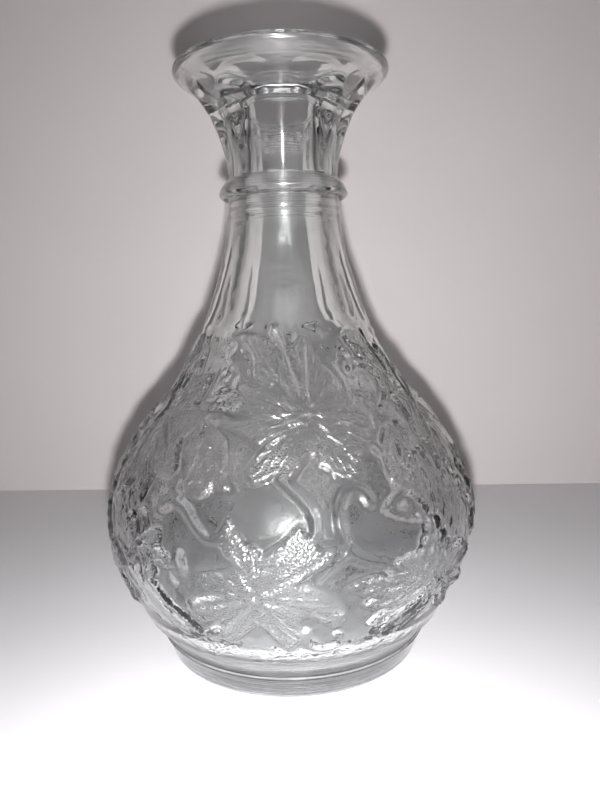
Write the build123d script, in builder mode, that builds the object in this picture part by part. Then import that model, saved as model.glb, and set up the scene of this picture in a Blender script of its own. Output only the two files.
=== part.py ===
"""Moulded glass wine decanter: footed round bowl, panelled neck, collar, fluted flared mouth and leaf relief.

Frame: millimetres, +Z up, the front faces -Y. The origin is the centre of the resting face of the foot.
The glass is cast in one piece. Its zones are modelled as separate solids that meet face to face.
"""
import os
from math import cos, pi, radians, sin

from build123d import *

# ---- heights of the zones, from the table up ----
foot_height = 18.0
belly_height = 62.0
shoulder_height = 46.0
neck_height = 48.5
collar_height = 7.2
mouth_height = 33.3
lip_height = 7.0

# ---- foot ----
foot_radius = 50.5
foot_edge_round = 1.6
foot_band_height = 8.6
foot_band_radius = 53.7
foot_band_step = 0.7
foot_top_radius = 59.8
recess_radius = 43.0
recess_height = 2.6
floor_thickness = 6.4
floor_corner_rise = 5.0

# ---- bowl ----
belly_radius = 71.4
belly_widest_above_foot = 34.0
belly_top_radius = 63.8
shoulder_middle_radius = 45.6
neck_foot_radius = 32.9
bowl_wall = 4.6
shoulder_wall = 5.4

# ---- neck, collar and mouth ----
panel_count = 8
neck_lower_radius = 27.4
neck_upper_radius = 22.6
neck_top_radius = 21.0
neck_panel_hollow = 1.7
bore_radius = 15.0
neck_foot_bore_radius = 27.0
collar_radius = 24.6
collar_edge_rise = 3.0
collar_edge_round = 1.3
mouth_foot_radius = 20.6
mouth_waist_radius = 21.9
mouth_flare_radius = 26.4
mouth_top_radius = 34.4
flute_hollow = 2.5
throat_below_lip = 6.6
lip_radius = 40.0
lip_round = 1.5
lip_wall = 3.0

# ---- relief on the bowl ----
relief_height = 1.9
relief_repeats = 3
leaf_notch_share = 0.5
leaf_tooth_share = 0.8
leaf_tooth_turn = 0.3
vine_width = 3.6
berry_radius = 3.3
berry_spacing = 6.0

# ---- levels that follow from the zone heights ----
belly_level = foot_height
shoulder_level = belly_level + belly_height
neck_level = shoulder_level + shoulder_height
collar_level = neck_level + neck_height
mouth_level = collar_level + collar_height
lip_level = mouth_level + mouth_height
total_height = lip_level + lip_height
widest_level = foot_height + belly_widest_above_foot
relief_reach = belly_radius * 1.4
throat_level = lip_level - throat_below_lip
floor_level = recess_height + floor_thickness
foot_bore_radius = foot_top_radius - bowl_wall
lip_bore_radius = lip_radius - lip_wall
cone_share = throat_below_lip / (total_height - throat_level)
mouth_cone_radius = bore_radius + (lip_bore_radius - bore_radius) * cone_share

# Leaf tips as (degrees round from the front, millimetres above the table), clockwise from the left.
front_leaf_heart = (6.0, 98.0)
front_leaf_tips = [(-22, 108), (-6, 125), (8, 122), (27, 106), (29, 96), (23, 82), (-3, 81), (-14, 86)]
low_leaf_heart = (-9.5, 49.0)
low_leaf_tips = [(-28, 47), (-17, 71), (3, 67), (13, 47), (13, 35), (-2, 27), (-21, 30)]
side_leaf_heart = (62.0, 86.0)
side_leaf_tips = [(44, 88), (50, 103), (64, 112), (76, 101), (82, 86), (70, 70), (52, 70)]
side_low_leaf_heart = (48.0, 40.0)
side_low_leaf_tips = [(23, 44), (36, 52), (57, 55), (66, 42), (58, 28), (36, 27)]
vine_routes = [
    [(-2, 80), (1, 76), (6, 73), (6, 64)],
    [(21, 75), (15, 76), (12, 69), (15, 61), (24, 56)],
    [(81, 73), (88, 70), (96, 65), (102, 64)],
]
berry_heart = (38.0, 77.0)
berry_rows = [1, 2, 3, 2]


def bowl_outer_points():
    """Outer radius and level of the bowl wall, from the foot up to the neck."""
    return [
        (foot_top_radius, foot_height),
        (belly_radius, widest_level),
        (belly_top_radius, shoulder_level),
        (shoulder_middle_radius, (shoulder_level + neck_level) / 2),
        (neck_foot_radius, neck_level),
    ]


def bowl_inner_points():
    """Inner radius and level of the bowl wall, set in from the outer points by the wall."""
    walls = [bowl_wall, bowl_wall, bowl_wall, shoulder_wall]
    points = [(r - wall, z) for (r, z), wall in zip(bowl_outer_points(), walls)]
    return points + [(neck_foot_bore_radius, neck_level)]


def bowl_section(z_low, z_high):
    """Half section of the bowl wall between two levels."""
    with BuildSketch(Plane.XZ) as section:
        with BuildLine():
            outside = Spline(bowl_outer_points())
            inside = Spline(bowl_inner_points())
            Line(outside @ 0, inside @ 0)
            Line(outside @ 1, inside @ 1)
        make_face()
        with Locations((belly_radius / 2, (z_low + z_high) / 2)):
            Rectangle(belly_radius * 2, z_high - z_low, mode=Mode.INTERSECT)
    return section.sketch


def panel_section(level, radius, hollow):
    """Outline of equal arcs between ridges at the given radius, dipped by the hollow at mid-panel."""
    step = 2 * pi / panel_count
    with BuildSketch(Plane.XY.offset(level)) as section:
        with BuildLine():
            for index in range(panel_count):
                start = index * step - pi / 2
                middle = start + step / 2
                end = start + step
                ThreePointArc(
                    (radius * cos(start), radius * sin(start)),
                    ((radius - hollow) * cos(middle), (radius - hollow) * sin(middle)),
                    (radius * cos(end), radius * sin(end)),
                )
        make_face()
    return section.sketch


def surface_point(azimuth, level, radius):
    """Flat position, across and up, of a place on the bowl as seen square on from its own azimuth."""
    return (radius * sin(radians(azimuth)), level)


def skin_radius(level):
    """Outer radius of the bowl wall at a level, straight between the wall's own points."""
    points = bowl_outer_points()
    for (r_low, z_low), (r_high, z_high) in zip(points, points[1:]):
        if level <= z_high:
            return r_low + (r_high - r_low) * (level - z_low) / (z_high - z_low)
    return neck_foot_radius


def relief_skin():
    """Shell that covers the bowl wall, as thick as the relief stands proud."""
    inner = bowl_outer_points()
    outer = [(radius + relief_height, level) for radius, level in inner]
    with BuildPart() as skin:
        with BuildSketch(Plane.XZ):
            with BuildLine():
                inside = Spline(inner)
                outside = Spline(outer)
                Line(inside @ 0, outside @ 0)
                Line(inside @ 1, outside @ 1)
            make_face()
        revolve(axis=Axis.Z)
    return skin.part


def facing_plane(azimuth):
    """Upright plane through the axis whose normal points outwards at the azimuth."""
    outwards = Vector(sin(radians(azimuth)), -cos(radians(azimuth)), 0)
    across = Vector(cos(radians(azimuth)), sin(radians(azimuth)), 0)
    return Plane(origin=(0, 0, 0), x_dir=across, z_dir=outwards)


def flat_places(heart, places):
    """Places on the bowl as points on the plane that faces the heart's azimuth."""
    return [surface_point(a - heart[0], z, skin_radius(z)) for a, z in places]


def toward(start, end, share):
    """Point at a share of the way from start to end."""
    return (start[0] + (end[0] - start[0]) * share, start[1] + (end[1] - start[1]) * share)


def leaf_outline(heart, tips):
    """Closed outline from tip to tip, with a side tooth each side of a tip and a notch between tips."""
    middle = (0.0, heart[1])
    flat_tips = flat_places(heart, tips)
    outline = []
    for tip, after in zip(flat_tips, flat_tips[1:] + flat_tips[:1]):
        halfway = ((tip[0] + after[0]) / 2, (tip[1] + after[1]) / 2)
        notch = toward(middle, halfway, leaf_notch_share)
        outline.append(tip)
        outline.append(toward(middle, toward(tip, halfway, leaf_tooth_turn), leaf_tooth_share))
        outline.append(notch)
        outline.append(toward(middle, toward(after, halfway, leaf_tooth_turn), leaf_tooth_share))
    return outline


def leaf_relief(skin, heart, tips):
    """Leaf solid that stands proud of the bowl."""
    with BuildPart() as leaf:
        with BuildSketch(facing_plane(heart[0])):
            Polygon(*leaf_outline(heart, tips), align=None)
        extrude(amount=relief_reach)
        add(skin, mode=Mode.INTERSECT)
    return leaf.part


def vine_relief(skin, route):
    """Raised stem on the bowl along a smooth route."""
    heart = route[len(route) // 2]
    with BuildPart() as vine:
        with BuildSketch(facing_plane(heart[0])):
            with BuildLine():
                line = Spline(flat_places(heart, route))
            trace(line, line_width=vine_width)
        extrude(amount=relief_reach)
        add(skin, mode=Mode.INTERSECT)
    return vine.part


def berry_relief(skin, heart, rows):
    """Bunch of half-round berries on the bowl, in rows that hang from the heart."""
    with BuildPart() as bunch:
        for row, count in enumerate(rows):
            level = heart[1] - row * berry_spacing
            radius = skin_radius(level)
            for index in range(count):
                across = (index - (count - 1) / 2) * berry_spacing
                azimuth = radians(heart[0]) + across / radius
                with Locations((radius * sin(azimuth), -radius * cos(azimuth), level)):
                    Sphere(berry_radius)
        add(skin, mode=Mode.INTERSECT)
    return bunch.part


def repeated(shapes):
    """The shapes set round the bowl once for each section of the mould."""
    with BuildPart() as group:
        for shape in shapes:
            for index in range(relief_repeats):
                add(shape.rotate(Axis.Z, index * 360 / relief_repeats))
    return group.part


def save(part, name):
    """Label a finished piece and write its file."""
    part.label = name
    export_step(part, f"parts/{name}.step")


os.makedirs("parts", exist_ok=True)

# ---- foot: flared band, set-back line and cove, round the sunk base disc ----
with BuildPart() as base_disc:
    with BuildSketch(Plane.XY.offset(recess_height)):
        Circle(recess_radius)
    extrude(amount=floor_thickness)

with BuildPart() as foot_ring:
    with BuildSketch(Plane.XZ):
        with BuildLine():
            Polyline(
                (recess_radius, floor_level),
                (recess_radius, 0),
                (foot_radius - foot_edge_round, 0),
            )
            RadiusArc(
                (foot_radius - foot_edge_round, 0),
                (foot_radius, foot_edge_round),
                -foot_edge_round * 1.05,
            )
            Polyline(
                (foot_radius, foot_edge_round),
                (foot_band_radius, foot_band_height),
                (foot_band_radius - foot_band_step, foot_band_height + foot_band_step),
            )
            Spline(
                (foot_band_radius - foot_band_step, foot_band_height + foot_band_step),
                (foot_top_radius, foot_height),
                tangents=[(0.35, 1), (0.7, 1)],
            )
            Line((foot_top_radius, foot_height), (foot_bore_radius, foot_height))
            Spline(
                (foot_bore_radius, foot_height),
                (recess_radius, floor_level),
                tangents=[(-0.6, -1), (-1, -0.15)],
            )
        make_face()
    revolve(axis=Axis.Z)

# ---- bowl ----
with BuildPart() as belly:
    revolve(bowl_section(belly_level, shoulder_level), axis=Axis.Z)

with BuildPart() as shoulder:
    revolve(bowl_section(shoulder_level, neck_level), axis=Axis.Z)

# ---- neck: round at the shoulder, eight panels above ----
with BuildPart() as neck:
    loft([panel_section(*station) for station in [
        (neck_level, neck_foot_radius, 0.0),
        (neck_level + neck_height / 3, neck_lower_radius, neck_panel_hollow / 2),
        (neck_level + neck_height * 2 / 3, neck_upper_radius, neck_panel_hollow),
        (collar_level, neck_top_radius, neck_panel_hollow),
    ]])
    with BuildSketch(Plane.XZ):
        with BuildLine():
            bore_line = Spline(
                (neck_foot_bore_radius, neck_level),
                (bore_radius, collar_level),
                tangents=[(neck_foot_bore_radius - shoulder_middle_radius, shoulder_height / 2), (0, 1)],
            )
            Polyline(bore_line @ 1, (0, collar_level), (0, neck_level), bore_line @ 0)
        make_face()
    revolve(axis=Axis.Z, mode=Mode.SUBTRACT)

# ---- collar ring ----
with BuildPart() as collar_ring:
    with BuildSketch(Plane.XZ):
        with BuildLine():
            Polyline(
                (bore_radius, mouth_level),
                (bore_radius, collar_level),
                (neck_top_radius, collar_level),
                (collar_radius - collar_edge_round, collar_level + collar_edge_rise - collar_edge_round),
            )
            edge = ThreePointArc(
                (collar_radius - collar_edge_round, collar_level + collar_edge_rise - collar_edge_round),
                (collar_radius, collar_level + collar_edge_rise),
                (collar_radius - collar_edge_round / 2, collar_level + collar_edge_rise + collar_edge_round),
            )
            Line(edge @ 1, (mouth_foot_radius, mouth_level))
            Line((mouth_foot_radius, mouth_level), (bore_radius, mouth_level))
        make_face()
    revolve(axis=Axis.Z)

# ---- mouth: eight flutes outside, straight throat and cone inside ----
with BuildPart() as fluted_mouth:
    loft([panel_section(*station) for station in [
        (mouth_level, mouth_foot_radius, flute_hollow * 0.6),
        (mouth_level + mouth_height * 0.3, mouth_waist_radius, flute_hollow * 0.8),
        (mouth_level + mouth_height * 0.67, mouth_flare_radius, flute_hollow),
        (lip_level, mouth_top_radius, flute_hollow * 0.8),
    ]])
    with BuildSketch(Plane.XZ):
        with BuildLine():
            Polyline(
                (0, mouth_level),
                (bore_radius, mouth_level),
                (bore_radius, throat_level),
                (mouth_cone_radius, lip_level),
                (0, lip_level),
                close=True,
            )
        make_face()
    revolve(axis=Axis.Z, mode=Mode.SUBTRACT)

# ---- lip ----
with BuildPart() as lip:
    with BuildSketch(Plane.XZ):
        with BuildLine():
            under = Spline(
                (mouth_top_radius, lip_level),
                (lip_radius, total_height - lip_round),
                tangents=[(1, 1), (0.4, 1)],
            )
            rim = CenterArc((lip_radius - lip_round, total_height - lip_round), lip_round, 0, 90)
            Polyline(
                rim @ 1,
                (lip_bore_radius, total_height - lip_round / 2),
                (mouth_cone_radius, lip_level),
                under @ 0,
            )
        make_face()
    revolve(axis=Axis.Z)

# ---- relief ----
bowl_skin = relief_skin()
front_leaves = repeated([leaf_relief(bowl_skin, front_leaf_heart, front_leaf_tips)])
low_leaves = repeated([leaf_relief(bowl_skin, low_leaf_heart, low_leaf_tips)])
side_leaves = repeated([leaf_relief(bowl_skin, side_leaf_heart, side_leaf_tips)])
side_low_leaves = repeated([leaf_relief(bowl_skin, side_low_leaf_heart, side_low_leaf_tips)])
vines = repeated([vine_relief(bowl_skin, route) for route in vine_routes])
berries = repeated([berry_relief(bowl_skin, berry_heart, berry_rows)])

for piece, piece_name in [
    (base_disc.part, "base_disc"),
    (foot_ring.part, "foot_ring"),
    (belly.part, "belly"),
    (shoulder.part, "shoulder"),
    (neck.part, "neck"),
    (collar_ring.part, "collar_ring"),
    (fluted_mouth.part, "fluted_mouth"),
    (lip.part, "lip"),
    (front_leaves, "front_leaf_relief"),
    (low_leaves, "low_leaf_relief"),
    (side_leaves, "side_leaf_relief"),
    (side_low_leaves, "side_low_leaf_relief"),
    (vines, "vine_relief"),
    (berries, "berry_relief"),
]:
    save(piece, piece_name)
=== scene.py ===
import math

import bpy
import numpy as np
from mathutils import Matrix, Vector


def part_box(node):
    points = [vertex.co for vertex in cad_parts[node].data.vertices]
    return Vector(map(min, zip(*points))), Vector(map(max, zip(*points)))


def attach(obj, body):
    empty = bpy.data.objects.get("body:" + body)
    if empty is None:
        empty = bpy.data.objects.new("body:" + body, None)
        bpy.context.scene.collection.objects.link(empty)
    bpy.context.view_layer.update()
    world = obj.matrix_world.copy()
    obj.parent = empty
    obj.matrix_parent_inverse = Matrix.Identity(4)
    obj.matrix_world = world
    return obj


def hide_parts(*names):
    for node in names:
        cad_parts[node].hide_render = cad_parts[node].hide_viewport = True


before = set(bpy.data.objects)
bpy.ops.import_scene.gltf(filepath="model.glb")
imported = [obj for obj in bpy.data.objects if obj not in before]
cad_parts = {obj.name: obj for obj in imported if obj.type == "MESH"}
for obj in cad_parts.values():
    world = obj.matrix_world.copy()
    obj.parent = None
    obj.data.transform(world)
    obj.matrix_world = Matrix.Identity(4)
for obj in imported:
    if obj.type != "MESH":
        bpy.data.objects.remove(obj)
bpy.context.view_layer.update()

bl_info = {
    "name": "Moulded Glass Decanter",
    "version": (1, 0, 0),
    "blender": (4, 5, 0),
    "location": "View3D > Sidebar > Decanter",
    "description": "Builds a moulded glass wine decanter with leaf relief and fluted mouth",
    "category": "Add Mesh",
}

MM = 0.001
REPEAT_ANGLE = 120.0        # the relief pattern returns once for each third of the mould


# ---------------------------------------------------------------- sizes from the frame

def box_mm(node):
    """Lowest and highest corner of a CAD node in millimetres."""
    low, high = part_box(node)
    return np.array(low) / MM, np.array(high) / MM


FOOT_TOP = box_mm("foot_ring")[1][2]
FOOT_TOP_RADIUS = box_mm("foot_ring")[1][0]
BELLY_RADIUS = box_mm("belly")[1][0]
NECK_FOOT = box_mm("neck")[0][2]
COLLAR_LOW, COLLAR_HIGH = (corner[2] for corner in box_mm("collar_ring"))
COLLAR_RADIUS = box_mm("collar_ring")[1][0]
LIP_LOW, LIP_HIGH = (corner[2] for corner in box_mm("lip"))
LIP_RADIUS = box_mm("lip")[1][0]


# ---------------------------------------------------------------- settings

class DecanterSizes(bpy.types.PropertyGroup):
    """Sizes of the moulded glass that a user may change."""

    columns: bpy.props.IntProperty(
        name="Columns", description="Faces round the relief zone", default=400, min=96, max=800)
    row_height: bpy.props.FloatProperty(
        name="Row Height", description="Height of a face in the relief zone, in millimetres", default=0.97)
    panel_count: bpy.props.IntProperty(
        name="Panels", description="Flutes round the mouth and panels round the neck", default=8, min=3)
    flute_depth: bpy.props.FloatProperty(
        name="Flute Depth", description="How far a flute dips between its ridges",
        default=2.5 * MM, unit="LENGTH")
    flute_top: bpy.props.FloatProperty(
        name="Flute Top", description="Level of the arch at the top of a flute",
        default=215.7 * MM, unit="LENGTH")
    arch_drop: bpy.props.FloatProperty(
        name="Arch Drop", description="How far the arch falls from its top to the ridge",
        default=3.2 * MM, unit="LENGTH")
    relief_height: bpy.props.FloatProperty(
        name="Relief Height", description="How far the tallest leaf stands proud of the bowl",
        default=1.55 * MM, unit="LENGTH")
    grain_height: bpy.props.FloatProperty(
        name="Grain Height", description="Height of the stipple on the leaves",
        default=0.11 * MM, unit="LENGTH")
    grain_size: bpy.props.FloatProperty(
        name="Grain Size", description="Width of one stipple", default=1.5 * MM, unit="LENGTH")
    ripple: bpy.props.FloatProperty(
        name="Inner Ripple", description="Waviness of the blown inner wall",
        default=0.35 * MM, unit="LENGTH")
    seed: bpy.props.IntProperty(name="Seed", description="Seed of the stipple and ripple", default=7)


class GlassLook(bpy.types.PropertyGroup):
    """Finish of the clear glass."""

    tint: bpy.props.FloatVectorProperty(
        name="Tint", description="Colour of the glass body", default=(0.962, 0.974, 0.972),
        size=3, min=0.0, max=1.0, subtype="COLOR")
    index: bpy.props.FloatProperty(
        name="Index", description="Refractive index of soda-lime glass", default=1.5)
    stipple: bpy.props.FloatProperty(
        name="Stipple", description="Height of the finest stipple", default=0.20 * MM, unit="LENGTH")
    veins: bpy.props.FloatProperty(
        name="Veins", description="Height of the side veins", default=0.13 * MM, unit="LENGTH")
    turned_lines: bpy.props.FloatProperty(
        name="Turned Lines", description="Height of the turned lines", default=0.04 * MM, unit="LENGTH")
    hammer: bpy.props.FloatProperty(
        name="Hammer", description="Height of the small dents in the bowl",
        default=0.21 * MM, unit="LENGTH")
    waves: bpy.props.FloatProperty(
        name="Waves", description="Height of the slow waves in plain glass",
        default=0.25 * MM, unit="LENGTH")
    sheen: bpy.props.FloatProperty(
        name="Soft Gloss", description="Share of the soft gloss on stippled glass", default=0.85,
        min=0.0, max=1.0, subtype="FACTOR")
    lamp_share: bpy.props.FloatProperty(
        name="Lamp Share", description="Share of lamp light that passes one face of the glass",
        default=0.48, min=0.0, max=1.0, subtype="FACTOR")


class StageLook(bpy.types.PropertyGroup):
    """Floor, backdrop, lamps and camera."""

    floor_colour: bpy.props.FloatVectorProperty(
        name="Floor", description="Colour of the floor", default=(0.60, 0.59, 0.61),
        size=3, min=0.0, max=1.0, subtype="COLOR")
    wall_colour: bpy.props.FloatVectorProperty(
        name="Backdrop", description="Colour of the backdrop", default=(0.44, 0.405, 0.405),
        size=3, min=0.0, max=1.0, subtype="COLOR")
    world_colour: bpy.props.FloatVectorProperty(
        name="Room", description="Colour of the room round the stage", default=(0.30, 0.295, 0.30),
        size=3, min=0.0, max=1.0, subtype="COLOR")
    front_lamp: bpy.props.FloatProperty(
        name="Front Lamp", description="Power of the small lamp by the camera", default=2.65, unit="POWER")
    soft_lamp: bpy.props.FloatProperty(
        name="Soft Lamp", description="Power of the large soft lamps", default=0.3, unit="POWER")
    camera_distance: bpy.props.FloatProperty(
        name="Camera Distance", description="Distance from the vessel's axis", default=0.263, unit="LENGTH")
    camera_height: bpy.props.FloatProperty(
        name="Camera Height", description="Height above the floor", default=0.1371, unit="LENGTH")


# ---------------------------------------------------------------- lines and profiles

def smooth_line(points, spacing):
    """Evenly spaced points on the natural cubic through the given points, as an array."""
    knots = np.array(points, dtype=float)
    chords = np.linalg.norm(np.diff(knots, axis=0), axis=1)
    along = np.concatenate([[0.0], np.cumsum(chords)])
    size = len(knots)
    system = np.eye(size)
    right = np.zeros((size, 2))
    for i in range(1, size - 1):
        before, after = chords[i - 1], chords[i]
        system[i, i - 1:i + 2] = before, 2 * (before + after), after
        right[i] = 3 * ((knots[i + 1] - knots[i]) / after - (knots[i] - knots[i - 1]) / before)
    bend = np.linalg.solve(system, right)
    count = max(2, int(round(along[-1] / spacing)) + 1)
    t = np.linspace(0.0, along[-1], count)
    i = np.clip(np.searchsorted(along, t, side="right") - 1, 0, size - 2)
    u = (t - along[i])[:, None]
    span = chords[i][:, None]
    slope = (knots[i + 1] - knots[i]) / span - span * (2 * bend[i] + bend[i + 1]) / 3
    rise = (bend[i + 1] - bend[i]) / (3 * span)
    return knots[i] + slope * u + bend[i] * u ** 2 + rise * u ** 3


class Band:
    """One stretch of the vessel's half section, outside from the base up and inside back down.

    Places are (radius, level) in millimetres. hollow is a list of (level, share of the flute depth).
    lines is the share of the fine turned lines, and inner is 1 on the inside of the glass.
    """

    def __init__(self, name, points, spacing, columns, hollow=((0.0, 0.0),), lines=0.0, inner=0.0):
        self.name = name
        self.line = smooth_line(points, spacing)
        self.columns = columns
        levels, shares = zip(*hollow)
        self.hollow = np.interp(self.line[:, 1], levels, shares)
        self.lines = lines
        self.inner = inner


# levels and radii in millimetres
RELIEF_TOP = NECK_FOOT + 6.0    # top of the relief zone
NECK_HIGH = 160.0               # foot of the smooth top of the neck
NECK_TOP = 167.0                # first turned ring under the collar
FLARE_FOOT = 194.0              # where the mouth starts to flare
FLARE_TOP = 206.0               # where the flutes reach their full depth
THROAT = LIP_HIGH - 12.8        # where the funnel of the mouth meets the bore
BORE_RADIUS = 15.0


def section_bands(fine, row):
    """All stretches of the half section. fine is the number of columns in the relief zone."""
    plain = fine // 2
    coarse = fine // 4
    ledge = ((NECK_FOOT + 0.8, 0.0), (NECK_FOOT + 3.2, 0.42), (RELIEF_TOP, 0.50))
    return [
        Band("recess", [(3.0, 3.6), (20.0, 3.3), (38.0, 2.7), (41.5, 2.4)], 5.0, coarse),
        Band("recess_wall", [(41.5, 2.4), (43.2, 1.6), (44.2, 0.5), (45.2, 0.0)], 0.8, coarse),
        Band("rest", [(45.2, 0.0), (49.6, 0.0)], 1.8, coarse),
        Band("foot_edge", [(49.6, 0.0), (50.2, 0.25), (50.5, 0.9)], 0.5, plain),
        Band("foot_side", [(50.5, 0.9), (52.0, 5.0), (53.4, 8.0)], 1.4, plain, lines=1.0),
        Band("foot_step", [(53.4, 8.0), (53.65, 8.5), (53.45, 8.9), (53.0, 9.3)], 0.3, plain),
        Band("cove", [
            (53.0, 9.3), (54.6, 12.0), (57.0, 15.2), (FOOT_TOP_RADIUS, FOOT_TOP)], 0.8, plain, lines=1.0),
        Band("bowl", [
            (FOOT_TOP_RADIUS, FOOT_TOP), (65.6, 30.0), (69.6, 40.0), (BELLY_RADIUS, 52.0), (70.0, 66.0),
            (63.9, 80.0), (54.2, 94.0), (44.4, 106.0), (36.9, 118.0), (32.4, 127.6), (31.9, 129.6),
            (30.9, RELIEF_TOP)], row, fine, ledge),
        Band("neck", [
            (30.9, RELIEF_TOP), (27.4, 142.0), (23.9, 154.0), (22.6, NECK_HIGH)],
            1.9, plain, ((RELIEF_TOP, 0.55), (150.0, 0.46), (NECK_HIGH, 0.28))),
        Band("neck_high", [
            (22.6, NECK_HIGH), (21.7, NECK_TOP)],
            1.9, plain, ((NECK_HIGH, 0.28), (NECK_TOP, 0.18)), lines=0.3),
        Band("neck_top", [
            (21.7, NECK_TOP), (21.85, 167.4), (21.6, 169.4), (21.45, 169.8), (21.6, 170.2),
            (21.3, 172.6), (21.0, COLLAR_LOW)],
            0.5, plain, ((NECK_TOP, 0.18), (COLLAR_LOW, 0.1)), lines=0.5),
        Band("collar_foot", [
            (21.0, COLLAR_LOW + 0.05), (22.6, COLLAR_LOW + 0.2), (23.9, COLLAR_LOW + 0.75),
            (COLLAR_RADIUS - 0.1, COLLAR_LOW + 1.7)], 0.5, plain),
        Band("collar", [
            (COLLAR_RADIUS, COLLAR_LOW + 2.0), (24.2, COLLAR_LOW + 3.3), (23.3, COLLAR_LOW + 5.0),
            (22.0, COLLAR_HIGH - 0.9), (20.9, COLLAR_HIGH - 0.1)], 0.6, plain, lines=0.8),
        Band("mouth", [
            (20.6, COLLAR_HIGH + 0.1), (20.8, 186.0), (21.7, 190.5), (22.6, FLARE_FOOT)],
            1.1, plain, ((COLLAR_HIGH, 0.6), (FLARE_FOOT, 0.75)), lines=0.3),
        Band("flare", [
            (22.6, FLARE_FOOT), (23.9, 198.0), (27.3, FLARE_TOP)],
            1.1, plain, ((FLARE_FOOT, 0.75), (FLARE_TOP, 1.1))),
        Band("flare_top", [
            (27.3, FLARE_TOP), (31.2, 211.5), (35.0, 215.2)], 0.55, plain, ((FLARE_TOP, 1.1),)),
        Band("lip", [
            (35.1, 215.3), (37.8, 217.2), (39.5, 218.8), (LIP_RADIUS, 219.9), (39.5, 220.9),
            (38.2, 221.6), (36.6, LIP_HIGH), (35.4, 221.6)], 0.55, plain, lines=0.8),
        Band("funnel", [
            (34.8, 221.2), (31.4, 218.0), (27.4, 214.6), (23.0, 211.9), (19.4, 210.2), (17.4, THROAT + 0.4)],
            1.6, coarse, inner=1.0),
        Band("throat", [
            (16.7, THROAT), (15.7, THROAT - 0.9), (15.05, THROAT - 2.2)], 0.7, coarse, inner=1.0),
        Band("bore", [
            (BORE_RADIUS, THROAT - 3.5), (BORE_RADIUS, 190.0), (BORE_RADIUS, COLLAR_LOW)],
            3.0, coarse, inner=1.0),
        Band("inner_wall", [
            (15.1, COLLAR_LOW - 2.0), (16.4, 164.0), (18.6, 154.0), (21.9, 142.0), (26.3, 130.0),
            (31.8, 118.0), (39.4, 106.0), (49.0, 94.0), (59.0, 80.0), (65.3, 66.0), (66.8, 52.0),
            (65.0, 40.0), (61.2, 30.0), (55.5, 20.5), (50.0, 14.6), (42.0, 10.9), (30.0, 9.3),
            (16.0, 8.9), (4.0, 8.9)], 2.4, coarse, inner=1.0),
    ]


# ---------------------------------------------------------------- relief drawing

def smoothstep(low, high, value):
    """Soft step from 0 at low to 1 at high."""
    t = np.clip((value - low) / (high - low), 0.0, 1.0)
    return t * t * (3 - 2 * t)


def segment_distance(x, y, start, end):
    """Distance from points to a straight run, and the share of the way along it."""
    dx, dy = end[0] - start[0], end[1] - start[1]
    length = dx * dx + dy * dy + 1e-9
    t = np.clip(((x - start[0]) * dx + (y - start[1]) * dy) / length, 0.0, 1.0)
    return np.hypot(x - start[0] - t * dx, y - start[1] - t * dy), t


def route_distance(x, y, route):
    """Distance to a route of straight runs and the share of the way along it."""
    best = np.full(x.shape, 1e9)
    share = np.zeros(x.shape)
    for i, (start, end) in enumerate(zip(route, route[1:])):
        distance, t = segment_distance(x, y, start, end)
        nearer = distance < best
        best = np.where(nearer, distance, best)
        share = np.where(nearer, (i + t) / (len(route) - 1), share)
    return best, share


def inside_distance(x, y, outline):
    """Distance to a closed outline, positive inside it."""
    best = np.full(x.shape, 1e9)
    inside = np.zeros(x.shape, dtype=bool)
    for start, end in zip(outline, outline[1:] + outline[:1]):
        best = np.minimum(best, segment_distance(x, y, start, end)[0])
        crosses = (start[1] > y) != (end[1] > y)
        rise = end[1] - start[1]
        at = start[0] + (y - start[1]) * (end[0] - start[0]) / (rise if abs(rise) > 1e-9 else 1e-9)
        inside ^= crosses & (x < at)
    return np.where(inside, best, -best)


class BowlChart:
    """Turns places on the bowl, given as degrees and level, into millimetres about a heart."""

    def __init__(self, line):
        self.levels = line[:, 1]
        self.radii = line[:, 0]
        steps = np.linalg.norm(np.diff(line, axis=0), axis=1)
        self.lengths = np.concatenate([[0.0], np.cumsum(steps)])

    def radius(self, level):
        return np.interp(level, self.levels, self.radii)

    def length(self, level):
        return np.interp(level, self.levels, self.lengths)

    def place(self, heart, azimuth, level):
        """Across and up from the heart, wrapped to the nearest repeat of the pattern."""
        half = REPEAT_ANGLE / 2
        turn = (np.asarray(azimuth, dtype=float) - heart[0] + half) % REPEAT_ANGLE - half
        return np.radians(turn) * self.radius(level), self.length(level) - self.length(heart[1])


# depths and heights as shares of the relief height
MOAT = 0.24                 # moat round a shape
RIM = 0.30                  # bead along the edge of a leaf
CUSHION = 0.26              # swell of a leaf from its rim to its middle
RIB_GROOVE = 0.45           # sunk line along a midrib
RIB_SIDE = 0.26             # raised sides of a midrib


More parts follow.
